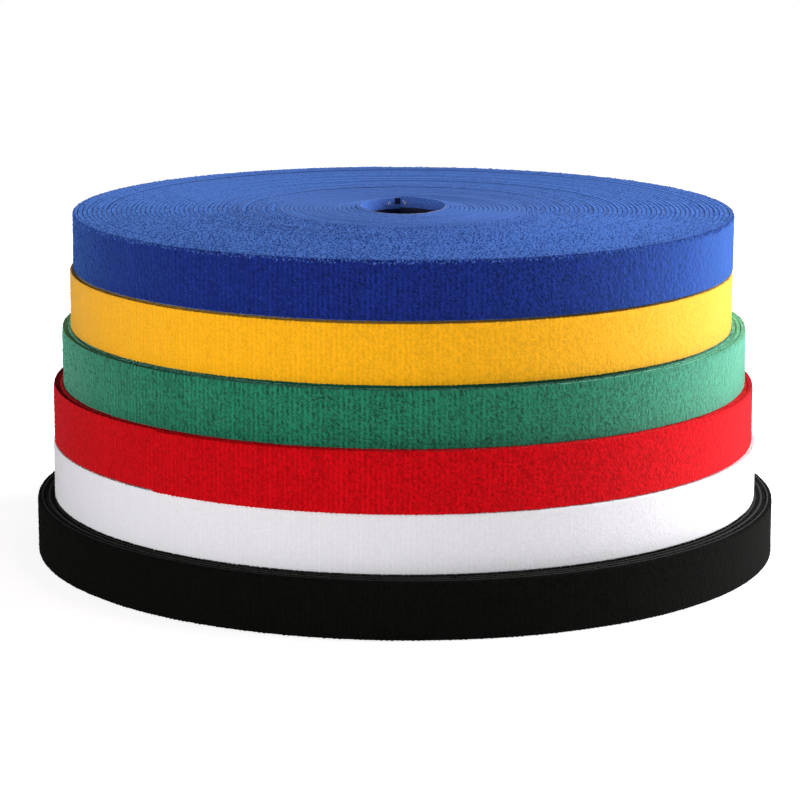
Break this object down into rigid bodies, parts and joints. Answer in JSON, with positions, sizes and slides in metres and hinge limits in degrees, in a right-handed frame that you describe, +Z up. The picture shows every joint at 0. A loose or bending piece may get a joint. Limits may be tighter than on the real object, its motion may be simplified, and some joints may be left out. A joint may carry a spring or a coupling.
{
  "type": "hook and loop tape roll set",
  "caption": "Stacked coreless rolls of narrow hook and loop tape in plain colours; each roll lifts off the stack and its outer tape end peels away.",
  "frame": {"origin": "middle of the underside of the bottom roll, on the surface that the stack stands on", "axes": "+Z up along the rolls' axes, -Y towards the side that the picture shows, +X to its right"},
  "size_m": [0.2662, 0.2672, 0.122],
  "materials": {
    "black_tape": "napped woven loop pile, matte",
    "white_tape": "napped woven loop pile, matte",
    "red_tape": "napped woven loop pile, matte",
    "green_tape": "napped woven loop pile, matte",
    "yellow_tape": "napped woven loop pile, matte",
    "blue_tape": "napped woven loop pile, matte"
  },
  "bodies": {
    "black_roll": {"black_inner_end": "black_tape", "black_core_turns": "black_tape", "black_outer_turns": "black_tape"},
    "black_end": {"black_tape_end": "black_tape"},
    "white_roll": {"white_inner_end": "white_tape", "white_core_turns": "white_tape", "white_outer_turns": "white_tape"},
    "white_end": {"white_tape_end": "white_tape"},
    "red_roll": {"red_inner_end": "red_tape", "red_core_turns": "red_tape", "red_outer_turns": "red_tape"},
    "red_end": {"red_tape_end": "red_tape"},
    "green_roll": {"green_inner_end": "green_tape", "green_core_turns": "green_tape", "green_outer_turns": "green_tape"},
    "green_end": {"green_tape_end": "green_tape"},
    "yellow_roll": {"yellow_inner_end": "yellow_tape", "yellow_core_turns": "yellow_tape", "yellow_outer_turns": "yellow_tape"},
    "yellow_end": {"yellow_tape_end": "yellow_tape"},
    "blue_roll": {"blue_inner_end": "blue_tape", "blue_core_turns": "blue_tape", "blue_outer_turns": "blue_tape"},
    "blue_end": {"blue_tape_end": "blue_tape"}
  },
  "joints": [
    {"name": "white_lift", "type": "slide", "parent": "black_roll", "child": "white_roll", "axis": [0, 0, 1], "range_m": [0, 0.05]},
    {"name": "red_lift", "type": "slide", "parent": "white_roll", "child": "red_roll", "axis": [0, 0, 1], "range_m": [0, 0.05]},
    {"name": "green_lift", "type": "slide", "parent": "red_roll", "child": "green_roll", "axis": [0, 0, 1], "range_m": [0, 0.05]},
    {"name": "yellow_lift", "type": "slide", "parent": "green_roll", "child": "yellow_roll", "axis": [0, 0, 1], "range_m": [0, 0.05]},
    {"name": "blue_lift", "type": "slide", "parent": "yellow_roll", "child": "blue_roll", "axis": [0, 0, 1], "range_m": [0, 0.05]},
    {"name": "black_peel", "type": "hinge", "parent": "black_roll", "child": "black_end", "pos_m": [0.00085, 0.13362, 0.01], "axis": [0, 0, 1], "range_deg": [0, 120]},
    {"name": "white_peel", "type": "hinge", "parent": "white_roll", "child": "white_end", "pos_m": [-0.11002, 0.0635, 0.0304], "axis": [0, 0, 1], "range_deg": [0, 120]},
    {"name": "red_peel", "type": "hinge", "parent": "red_roll", "child": "red_end", "pos_m": [-0.02487, -0.12575, 0.0508], "axis": [0, 0, 1], "range_deg": [0, 120]},
    {"name": "green_peel", "type": "hinge", "parent": "green_roll", "child": "green_end", "pos_m": [-0.03179, 0.11922, 0.0712], "axis": [0, 0, 1], "range_deg": [0, 120]},
    {"name": "yellow_peel", "type": "hinge", "parent": "yellow_roll", "child": "yellow_end", "pos_m": [-0.11603, 0.03023, 0.0916], "axis": [0, 0, 1], "range_deg": [0, 120]},
    {"name": "blue_peel", "type": "hinge", "parent": "blue_roll", "child": "blue_end", "pos_m": [-0.06834, 0.09745, 0.112], "axis": [0, 0, 1], "range_deg": [0, 120]}
  ]
}
